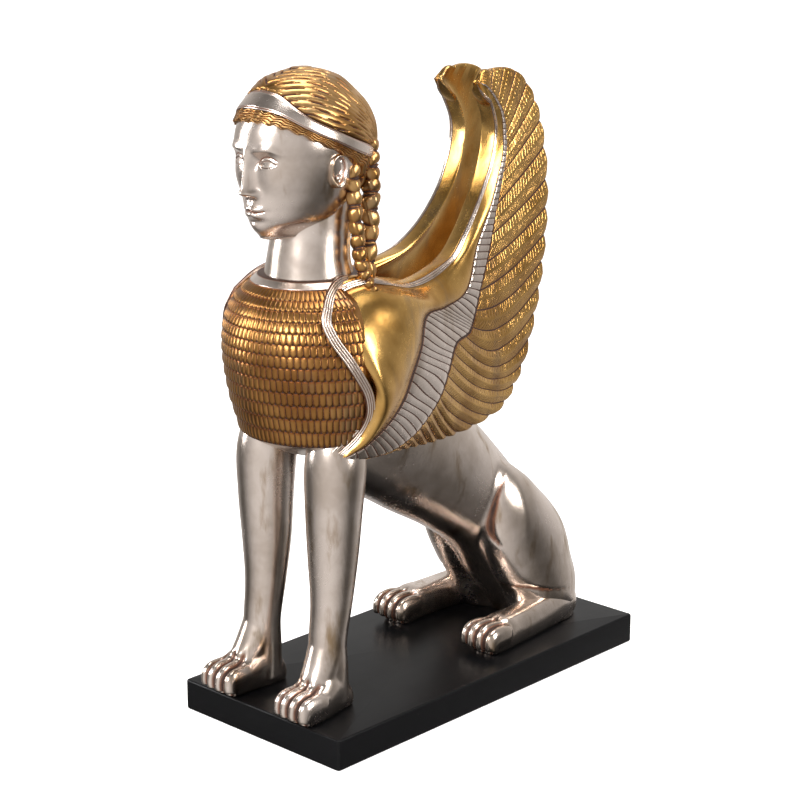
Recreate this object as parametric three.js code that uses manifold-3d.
// A winged sphinx seated on a flat board. Millimetres, +Z up; it faces -Y and its left side is +X.
import * as THREE from 'three';
import { LoftGeometry } from 'three/addons/geometries/LoftGeometry.js';
import { mergeVertices } from 'three/addons/utils/BufferGeometryUtils.js';
import Module from 'manifold-3d';

const wasm = await Module();
wasm.setup();

// Plinth board and the seat of the figure on it.
const PLINTH_WIDTH = 240;
const PLINTH_LENGTH = 500;
const PLINTH_HEIGHT = 35;
const PLINTH_EDGE = 2.5;
const SEAT_GAP = 0.3;
const FLOOR = PLINTH_HEIGHT + SEAT_GAP;

// Head and neck.
const CHIN_HEIGHT = 547;
const FACE_HEIGHT = 162;
const HEAD_CENTRE_Y = -176;
const HEAD_HALF_WIDTH = 56;
const HEAD_FRONT_DEPTH = 78;
const HEAD_BACK_DEPTH = 78;
const HAIR_LIFT = 8;
const FILLET_LIFT = 6;
const FILLET_HEIGHT = 0.1;
const HAIR_LOCKS = 14;

// Scale coat on the breast.
const SCALE_ROWS = 13;
const SCALE_COLUMNS = 12;
const COAT_TOP = 494;
const FIRST_ROW = 9;
const ROW_GROWTH = 0.58;
const SCALE_LIFT = 2.4;
const SCALE_DIP = 3;
const COAT_TUCK = 10;

// Wing.
const FEATHERS = 19;
const FEATHER_LIFT = 3;
const FEATHER_TIP = 3.5;
const COVERT_LIFT = 1.6;
const BAND_LIFT = 1.4;

const { clamp, lerp, smoothstep } = THREE.MathUtils;
const vec = (x, y, z) => new THREE.Vector3(x, y, z);
const bump = (x, width) => Math.exp(-((x / width) ** 2));

// A smooth curve through a list of points or of numbers, read from 0 at its start to 1 at its end.
const route = (points) => new THREE.CatmullRomCurve3(points.map((p) => vec(...p)));
function through(values) {
  const line = new THREE.SplineCurve(values.map((v, i) => new THREE.Vector2(i, v)));
  return (t) => line.getPoint(clamp(t, 0, 1)).y;
}

// Solids are kept as manifolds so that they can be fused.
function solid(geometry) {
  const bare = new THREE.BufferGeometry();
  bare.setAttribute('position', geometry.attributes.position);
  bare.setIndex(geometry.index);
  const merged = mergeVertices(bare, 1e-4);
  const faces = [];
  for (let i = 0; i < merged.index.count; i += 3) {
    const [a, b, c] = [0, 1, 2].map((k) => merged.index.getX(i + k));
    if (a !== b && b !== c && c !== a) faces.push(a, b, c);
  }
  return new wasm.Manifold(new wasm.Mesh({
    numProp: 3,
    vertProperties: merged.attributes.position.array,
    triVerts: new Uint32Array(faces),
  }));
}

function geometryOf(manifold) {
  const mesh = manifold.getMesh();
  const geometry = new THREE.BufferGeometry();
  geometry.setAttribute('position', new THREE.Float32BufferAttribute(mesh.vertProperties, 3));
  geometry.setIndex(new THREE.Uint32BufferAttribute(mesh.triVerts, 1));
  geometry.computeVertexNormals();
  return geometry;
}

const fuse = (solids) => solids.reduce((all, next) => all.add(next));

// A ring shrunk to its middle closes the end of a loft.
function closing(section) {
  const middle = vec(0, 0, 0);
  section.forEach((p) => middle.addScaledVector(p, 1 / section.length));
  return section.map(() => middle.clone());
}

// The mirror image of a loft across the plane x = 0 has every section mirrored and turned round.
function loft(sections, mirrored = false) {
  const ends = [closing(sections[0]), ...sections, closing(sections[sections.length - 1])];
  const placed = mirrored
    ? ends.map((section) => section.map((p) => vec(-p.x, p.y, p.z)).reverse())
    : ends;
  return solid(new LoftGeometry(placed));
}

// A round limb along a route. Each station is [x, y, z, half width across X, half depth].
function limb(stations, rings, sides, mirrored = false) {
  const path = route(stations.map((s) => s.slice(0, 3)));
  const halfWidth = through(stations.map((s) => s[3]));
  const halfDepth = through(stations.map((s) => s[4]));
  const sections = [];
  for (let i = 0; i <= rings; i += 1) {
    const t = i / rings;
    const centre = path.getPoint(t);
    const along = path.getTangent(t);
    const across = vec(1, 0, 0).addScaledVector(along, -along.x).normalize();
    const deep = vec(0, 0, 0).crossVectors(along, across);
    const section = [];
    for (let j = 0; j < sides; j += 1) {
      const angle = (2 * Math.PI * j) / sides;
      section.push(centre.clone()
        .addScaledVector(across, halfWidth(t) * Math.cos(angle))
        .addScaledVector(deep, halfDepth(t) * Math.sin(angle)));
    }
    sections.push(section);
  }
  return loft(sections, mirrored);
}

// A sphere stretched along a line from one point to another, for toes and beads.
function pebble(from, to, radius, height, sides = 5) {
  const steps = 4;
  const start = vec(...from);
  const end = vec(...to);
  const along = end.clone().sub(start).normalize();
  const across = vec(0, 0, 1).cross(along).normalize();
  const up = vec(0, 0, 0).crossVectors(along, across);
  const sections = [];
  for (let i = 0; i <= steps; i += 1) {
    const angle = Math.PI * (0.06 + (0.88 * i) / steps);
    const centre = start.clone().lerp(end, 0.5 - 0.5 * Math.cos(angle));
    const section = [];
    for (let j = 0; j < sides; j += 1) {
      const turn = (2 * Math.PI * j) / sides;
      section.push(centre.clone()
        .addScaledVector(across, radius * Math.sin(angle) * Math.cos(turn))
        .addScaledVector(up, height * Math.sin(angle) * Math.sin(turn)));
    }
    sections.push(section);
  }
  return loft(sections);
}

const bothSides = (make) => [make(false), make(true)];

// Torso: from inside the breast it slopes down to the rump, which meets the board.
const TORSO = [
  [0, -150, 400, 70, 70],
  [0, -85, 335, 64, 83],
  [0, -18, 281, 57, 76],
  [0, 52, 229, 53, 66],
  [0, 110, 177, 50, 58],
  [0, 152, 116, 48, 55],
  [0, 178, 64, 44, 42],
  [0, 184, 30, 42, 36],
];

// Back between the wings, from the neck down to the loins.
const SADDLE = [
  [0, -140, 440, 60, 56],
  [0, -80, 424, 50, 58],
  [0, -20, 408, 40, 58],
  [0, 34, 372, 34, 66],
  [0, 52, 310, 34, 54],
  [0, 56, 250, 34, 44],
];

const HAUNCH = [
  [42, 182, 28, 32, 36],
  [44, 170, 68, 35, 50],
  [44, 159, 96, 37, 51],
  [44, 142, 130, 38, 56],
  [42, 116, 168, 36, 52],
  [36, 98, 202, 32, 42],
  [28, 82, 232, 22, 26],
  [22, 70, 246, 8, 12],
];

const FRONT_LEG = [
  [52, -200, 45, 23, 26],
  [51.5, -197, 84, 21.5, 22.5],
  [51, -195, 112, 20.5, 20.5],
  [51, -190, 155, 22.5, 23],
  [51, -187, 205, 27, 27.5],
  [52, -186, 255, 30, 31],
  [52, -183, 305, 32, 33.5],
  [48, -174, 345, 26, 30],
  [45, -166, 380, 20, 26],
];

const NECK = [
  [0, -166, 462, 54, 54],
  [0, -168, 490, 49, 50],
  [0, -168, 515, 43, 45],
  [0, -164, 545, 40, 43],
  [0, -158, 590, 40, 46],
];

// A paw is a flat-soled body, heel to knuckles, and four toes side by side.
// Each station is [y, centre x, half width, top z].
const FRONT_PAW = [
  [-168, 52, 10, 60],
  [-174, 52, 18, 76],
  [-192, 53, 22, 92],
  [-215, 55, 24, 88],
  [-238, 57, 24.5, 79],
  [-249, 57.5, 20, 64],
];
const HIND_FOOT = [
  [212, 50, 10, 56],
  [204, 52, 18, 72],
  [170, 59, 21, 76],
  [120, 66, 20, 74],
  [84, 69, 20, 73],
  [62, 70, 22, 73],
  [42, 70, 21, 64],
  [34, 70, 18, 52],
];
const TOE_SPREAD = [-17.2, -5.8, 5.8, 17.2];
const TOE_RADIUS = 7.6;
const TOE_HEIGHT = 16;
const TOE_ROOT = 22;
const FRONT_REACH = 14;
const HIND_REACH = 12;

function pawBody(stations, mirrored) {
  const sides = 10;
  const sole = FLOOR - 4;
  return loft(stations.map(([y, x, half, top]) => {
    const section = [];
    for (let j = 0; j < sides; j += 1) {
      const angle = (2 * Math.PI * j) / sides;
      const round = Math.abs(Math.cos(angle)) ** 0.7 * Math.sign(Math.cos(angle));
      const rise = 0.5 + 0.5 * Math.abs(Math.sin(angle)) ** 0.85 * Math.sign(Math.sin(angle));
      section.push(vec(x + half * round, y, sole + (top - sole) * rise));
    }
    return section;
  }), mirrored);
}

// The two middle toes reach further than the outer ones, and all four spread a little.
function toes(stations, reach, mirrored) {
  const [y, x] = stations[stations.length - 1];
  const side = mirrored ? -1 : 1;
  return TOE_SPREAD.map((offset) => {
    const inner = 1 - Math.abs(offset) / 60;
    return pebble(
      [side * (x + offset * 1.02), y + TOE_ROOT, FLOOR + TOE_HEIGHT * 1.5],
      [side * (x + offset * 1.08), y - reach * inner, FLOOR + TOE_HEIGHT * 0.6],
      TOE_RADIUS,
      TOE_HEIGHT,
    );
  });
}

// Breast: horizontal oval sections. Each station is [z, centre y, half width, half depth].
const BREAST = [
  [306, -156, 68, 62],
  [318, -157, 80, 76],
  [340, -157, 86, 83],
  [370, -157, 93, 92],
  [410, -158, 97, 98],
  [440, -158, 96, 99],
  [462, -159, 90, 94],
  [480, -161, 79, 82],
  [492, -165, 64, 66],
  [502, -168, 51, 51],
];

const breastHeights = BREAST.map((s) => s[0]);
function breastAt(z) {
  const last = BREAST.length - 1;
  let i = 0;
  while (i < last - 1 && z > breastHeights[i + 1]) i += 1;
  const f = clamp((z - breastHeights[i]) / (breastHeights[i + 1] - breastHeights[i]), 0, 1);
  const t = (i + f) / last;
  return [1, 2, 3].map((k) => through(BREAST.map((s) => s[k]))(t));
}

// Angles round the breast: two for each column of scales in front, a few wide ones behind.
function breastAngles() {
  const spread = Math.PI * 0.86;
  const start = -Math.PI / 2 - spread / 2;
  const front = [];
  for (let j = 0; j <= 2 * SCALE_COLUMNS; j += 1) front.push(start + (spread * j) / (2 * SCALE_COLUMNS));
  const rest = 2 * Math.PI - spread;
  const back = [];
  for (let j = 1; j < 6; j += 1) back.push(start + spread + (rest * j) / 6);
  return { front, back };
}

function breastRing(z, lift, dip) {
  const { front, back } = breastAngles();
  const [centreY, halfWidth, halfDepth] = breastAt(z);
  const at = (angle, out, drop) => vec(
    (halfWidth + out) * Math.cos(angle),
    centreY + (halfDepth + out) * Math.sin(angle),
    z - drop,
  );
  return [
    ...front.map((angle, j) => at(angle, j % 2 ? lift : lift * 0.35, j % 2 ? dip : 0)),
    ...back.map((angle) => at(angle, -COAT_TUCK, 0)),
  ];
}

function breast() {
  const rings = [];
  let z = COAT_TOP;
  rings.push(breastRing(COAT_TOP + 8, 2, 0), breastRing(COAT_TOP + 3, 4, 0));
  for (let row = 0; row < SCALE_ROWS; row += 1) {
    const height = FIRST_ROW + ROW_GROWTH * row;
    rings.push(breastRing(z, 0, 0));
    z -= height;
    rings.push(breastRing(z + 1, SCALE_LIFT, SCALE_DIP * (0.5 + (0.5 * row) / SCALE_ROWS)));
  }
  rings.push(breastRing(z - 3, -3, 0));
  rings.push(breastRing(BREAST[0][0], -COAT_TUCK, 0));
  return loft(rings.reverse());
}

// Wing ribs from the tip, down the leading edge and the shoulder, to the breast above the foreleg.
// nose: centre of the rounded leading edge, with its radius. covert: the front and rear edge of the
// band of small feathers. edge: the ends of the long feathers.
const NOSE = [
  [27, 62, 680, 9],
  [25, 78, 657, 11],
  [23.5, 88, 634, 11],
  [23, 88, 610, 11],
  [23, 82, 588, 11],
  [23, 72, 566, 11],
  [24.5, 58, 544, 11],
  [28, 38, 520, 11],
  [34, 12, 498, 12],
  [40, -28, 482, 12],
  [46, -72, 478, 12],
  [52, -115, 488, 12],
  [52, -148, 494, 12],
  [50, -178, 489, 10],
  [58, -200, 470, 10],
  [78, -190, 431, 9],
  [84, -172, 392, 9],
  [78, -180, 349, 9],
  [60, -202, 322, 8],
];
const COVERT_FRONT = [
  [36, 52, 684],
  [36, 70, 674],
  [36, 84, 660],
  [36, 95, 643],
  [36, 98, 620],
  [37, 97, 600],
  [38, 87, 572],
  [42, 69, 540],
  [47, 44, 505],
  [56, 17, 460],
  [65, -28, 450],
  [74, -68, 448],
  [82, -84, 418],
  [88, -104, 392],
  [91, -119, 371],
  [93, -138, 355],
  [93, -159, 342],
  [89, -176, 331],
  [80, -196, 322],
];
const COVERT_REAR = [
  [36, 55, 683],
  [36, 73, 674],
  [36, 87, 660],
  [36, 98, 643],
  [36, 103, 620],
  [36, 103, 597],
  [38, 93, 566],
  [41, 79, 530],
  [45, 64, 490],
  [52, 43, 455],
  [57, 28, 428],
  [60, 18, 415],
  [69, -14, 409],
  [74, -30, 385],
  [79, -47, 362],
  [83, -68, 345],
  [87, -100, 327],
  [87, -142, 316],
  [80, -182, 316],
];
const FEATHER_EDGE = [
  [29, 66, 686],
  [30, 86, 692],
  [30.5, 108, 692],
  [31, 130, 684],
  [32, 149, 664],
  [33, 163, 634],
  [34, 171, 598],
  [35, 175, 555],
  [36, 173, 505],
  [37, 166, 455],
  [38, 152, 400],
  [40, 130, 350],
  [44, 94, 314],
  [50, 47, 304],
  [56, 0, 302],
  [63, -45, 304],
  [72, -90, 309],
  [80, -135, 313],
  [76, -180, 313],
];
const WING_THICKNESS = [10, 10, 10, 10, 10, 10, 10, 10, 10, 10, 11, 14, 20, 26, 32, 38, 40, 36, 24];
const FEATHERS_PASSED = [0, 0.9, 1.7, 2.5, 3.2, 3.9, 4.7, 5.4, 6.2, 6.9, 7.7, 8.5, 9.5, 10.8, 12.2,
  13.8, 15.5, 17.2, 19];

// Where along the ribs a count of feathers from the tip falls.
function ribOf(count) {
  let i = 0;
  while (i < FEATHERS_PASSED.length - 2 && count > FEATHERS_PASSED[i + 1]) i += 1;
  const f = (count - FEATHERS_PASSED[i]) / (FEATHERS_PASSED[i + 1] - FEATHERS_PASSED[i]);
  return (i + f) / (FEATHERS_PASSED.length - 1);
}

const noseLine = route(NOSE.map((s) => s.slice(0, 3)));
const noseRadius = through(NOSE.map((s) => s[3]));
const covertFront = route(COVERT_FRONT);
const covertRear = route(COVERT_REAR);
const featherEdge = route(FEATHER_EDGE);
const wingThickness = through(WING_THICKNESS);
const swell = through([0, 0, 0, 0, 0, 0, 0, 1, 3, 6, 10, 15, 20, 24, 24, 18, 11, 6, 2]);

// One closed section of the wing; ridge is 1 along a feather's shaft and 0 between two feathers.
function wingSection(s, ridge) {
  const nose = noseLine.getPoint(s);
  const front = covertFront.getPoint(s);
  const rear = covertRear.getPoint(s);
  const edge = featherEdge.getPoint(s);
  const chord = edge.clone().sub(rear).normalize();
  edge.addScaledVector(chord, ridge ? FEATHER_TIP : 0);
  const back = front.clone().sub(nose).setX(0).normalize();
  const radius = noseRadius(s);
  const round = (angle) => nose.clone()
    .add(vec(radius * Math.sin(angle), 0, 0))
    .addScaledVector(back, -radius * Math.cos(angle));
  const out = (p, lift) => p.clone().add(vec(lift, 0, 0));
  const thick = wingThickness(s);
  const cover = ridge ? COVERT_LIFT : 0;
  const quill = ridge ? FEATHER_LIFT : 0;
  const outer = [
    round(0),
    out(round(1.1), BAND_LIFT),
    out(round(1.7).lerp(front, 0.3), swell(s)),
    out(round(1.7).lerp(front, 0.75), swell(s) * 0.7),
    out(front, cover),
    out(rear, cover),
    out(rear.clone().lerp(edge, 0.08), quill * 0.5),
    out(rear.clone().lerp(edge, 0.75), quill),
    edge,
  ];
  const inner = [
    out(edge, -thick * 0.8),
    out(rear.clone().lerp(edge, 0.4), -thick),
    out(front.clone().lerp(rear, 0.5), -thick * 1.3),
    round(-Math.PI / 2),
  ];
  return [...outer, ...inner];
}

function wing(mirrored) {
  const sections = [];
  for (let i = 0; i <= 2 * FEATHERS; i += 1) {
    sections.push(wingSection(ribOf(i / 2), i % 2));
  }
  return loft(sections.reverse(), mirrored);
}

// Head. h is the height above the chin as a share of the face's height, x the distance from the
// middle line. The features stand at the usual thirds and halves of a drawn head.
const EYE_LINE = 0.5;
const BROW_LINE = 0.6;
const NOSE_BASE = 0.29;
const MOUTH_LINE = 0.19;
const EYE_OFFSET = 18;
const headWidth = through([0.36, 0.66, 0.82, 0.92, 0.98, 1, 1, 0.94, 0.8, 0.5, 0.12]);
const headFront = through([0.72, 0.84, 0.88, 0.9, 0.93, 0.96, 0.98, 0.93, 0.8, 0.52, 0.12]);
const headBack = through([0.1, 0.35, 0.62, 0.82, 0.94, 1, 1.02, 0.98, 0.84, 0.54, 0.12]);

function faceRelief(x, h) {
  const side = Math.abs(x);
  const up = smoothstep(h, NOSE_BASE - 0.02, NOSE_BASE + 0.02);
  const bridge = up * (1 - smoothstep(h, BROW_LINE - 0.1, BROW_LINE + 0.06));
  const nose = bridge * lerp(20, 8, smoothstep(h, NOSE_BASE, BROW_LINE)) * bump(side, 8.5);
  const socket = -7 * bump(side - EYE_OFFSET, 11) * bump(h - EYE_LINE - 0.01, 0.055);
  const eye = 5 * bump(side - EYE_OFFSET, 8) * bump(h - EYE_LINE, 0.028);
  const brow = 3 * bump(side - EYE_OFFSET, 16) * bump(h - BROW_LINE, 0.035);
  const lips = 5 * bump(side, 12) * bump(h - MOUTH_LINE, 0.045);
  const line = -3 * bump(side, 13) * bump(h - MOUTH_LINE, 0.012);
  const chin = 5 * bump(side, 13) * bump(h - 0.06, 0.06);
  return nose + socket + eye + brow + lips + line + chin;
}

function headPoint(angle, h, lift) {
  const c = Math.cos(angle);
  const s = Math.sin(angle);
  const x = HEAD_HALF_WIDTH * headWidth(h) * Math.abs(c) ** 0.9 * Math.sign(c);
  const depth = s < 0 ? HEAD_FRONT_DEPTH * headFront(h) : HEAD_BACK_DEPTH * headBack(h);
  const y = HEAD_CENTRE_Y + depth * s;
  const front = smoothstep(-s, 0.2, 0.6);
  const relief = lift ? 0 : faceRelief(x, h) * front;
  const rise = lift * smoothstep(h, 0.7, 1);
  return vec(x + lift * c, y + lift * s - relief, CHIN_HEIGHT + FACE_HEIGHT * h + rise);
}

function head() {
  const rings = 14;
  const sides = 24;
  const sections = [];
  for (let i = 0; i <= rings; i += 1) {
    const h = i / rings;
    const section = [];
    for (let j = 0; j < sides; j += 1) {
      const turn = (2 * Math.PI * j) / sides;
      const angle = turn - 0.32 * Math.sin(2 * turn) * (Math.sin(turn) < 0 ? -1 : 0);
      section.push(headPoint(angle, h, 0));
    }
    sections.push(section);
  }
  return loft(sections);
}

// Hair: a cap of combed locks above a fillet that runs from the brow down behind the ears, with a
// scalloped fringe below it. The edge is the fillet's lower line, by the turn from the front.
const filletEdge = through([0.82, 0.78, 0.64, 0.5, 0.42, 0.39]);
const fringeEdge = through([0.755, 0.71, 0.52, 0.36, 0.2, 0.16]);

function hair() {
  const sides = 2 * HAIR_LOCKS;
  const ring = (share, lift, wave) => {
    const section = [];
    for (let j = 0; j < sides; j += 1) {
      const angle = (2 * Math.PI * j) / sides;
      const turn = Math.abs(Math.atan2(Math.cos(angle), -Math.sin(angle))) / Math.PI;
      const edge = filletEdge(turn);
      const h = share < 0 ? lerp(edge, fringeEdge(turn), -share) : lerp(edge, 1, share);
      section.push(headPoint(angle, h, lift + (j % 2 ? wave : -wave)));
    }
    return section;
  };
  const band = FILLET_HEIGHT / 0.45;
  return loft([
    ring(-1, 0.5, 0.4),
    ring(-0.85, 5, 2),
    ring(-0.25, 5, 1.6),
    ring(-0.02, 4, 0),
    ring(0, FILLET_LIFT, 0),
    ring(band, FILLET_LIFT, 0),
    ring(band + 0.03, HAIR_LIFT - 2, 1),
    ring(0.45, HAIR_LIFT, 1.8),
    ring(0.72, HAIR_LIFT, 1.6),
    ring(0.96, HAIR_LIFT, 0.8),
  ]);
}

// A hanging braid is a row of beads along a route; each station is [x, y, z, bead radius].
const FRONT_BRAID = {
  beads: 11,
  stations: [
    [50, -158, 628, 8],
    [53, -154, 560, 8.5],
    [55, -142, 506, 7],
    [60, -126, 478, 5],
    [68, -118, 452, 3],
  ],
};
const REAR_BRAID = {
  beads: 7,
  stations: [
    [40, -118, 640, 10],
    [42, -118, 576, 10.5],
    [42, -124, 496, 9],
  ],
};

function braid({ beads, stations }, mirrored) {
  const path = route(stations.map((s) => s.slice(0, 3)));
  const size = through(stations.map((s) => s[3]));
  const sides = 5;
  const sections = [];
  for (let i = 0; i <= 2 * beads; i += 1) {
    const t = i / (2 * beads);
    const centre = path.getPoint(t);
    const radius = size(t) * (i % 2 ? 1 : 0.62);
    const section = [];
    for (let j = 0; j < sides; j += 1) {
      const angle = -(2 * Math.PI * j) / sides;
      section.push(centre.clone().add(vec(radius * Math.cos(angle), radius * Math.sin(angle), 0)));
    }
    sections.push(section);
  }
  return loft(sections, mirrored);
}

function ear(mirrored) {
  const side = mirrored ? -1 : 1;
  return pebble([side * 57, -176, 634], [side * 55, -184, 598], 11, 6, 8);
}

const plinthBoard = () => {
  const outline = (inset, z) => {
    const x = PLINTH_WIDTH / 2 - inset;
    const y = PLINTH_LENGTH / 2 - inset;
    const cut = PLINTH_EDGE;
    return [
      vec(x, -y + cut, z), vec(x, y - cut, z), vec(x - cut, y, z), vec(-x + cut, y, z),
      vec(-x, y - cut, z), vec(-x, -y + cut, z), vec(-x + cut, -y, z), vec(x - cut, -y, z),
    ];
  };
  return loft([
    outline(PLINTH_EDGE, 0),
    outline(0, PLINTH_EDGE),
    outline(0, PLINTH_HEIGHT - PLINTH_EDGE),
    outline(PLINTH_EDGE, PLINTH_HEIGHT),
  ]);
};

function figure() {
  const parts = [
    limb(TORSO, 10, 16),
    limb(SADDLE, 6, 12),
    ...bothSides((m) => limb(HAUNCH, 8, 12, m)),
    ...bothSides((m) => limb(FRONT_LEG, 8, 11, m)),
    ...bothSides((m) => pawBody(FRONT_PAW, m)),
    ...bothSides((m) => pawBody(HIND_FOOT, m)),
    ...bothSides((m) => fuse(toes(FRONT_PAW, FRONT_REACH, m))),
    ...bothSides((m) => fuse(toes(HIND_FOOT, HIND_REACH, m))),
    breast(),
    ...bothSides((m) => wing(m)),
    limb(NECK, 4, 16),
    head(),
    hair(),
    ...bothSides(ear),
    ...bothSides((m) => braid(FRONT_BRAID, m)),
    ...bothSides((m) => braid(REAR_BRAID, m)),
  ];
  const room = new THREE.BoxGeometry(600, 900, 900);
  room.translate(0, 0, FLOOR + 450);
  return fuse(parts).intersect(solid(room));
}

const gold = new THREE.MeshStandardMaterial({ color: 0xc9973a, roughness: 0.35, metalness: 1 });
const black = new THREE.MeshStandardMaterial({ color: 0x0d0d0d, roughness: 0.45, metalness: 0 });

const part = new THREE.Group();
const figureMesh = new THREE.Mesh(geometryOf(figure()), gold);
figureMesh.name = 'sphinx_figure';
const plinthMesh = new THREE.Mesh(geometryOf(plinthBoard()), black);
plinthMesh.name = 'plinth';
part.add(figureMesh, plinthMesh);

export default part;
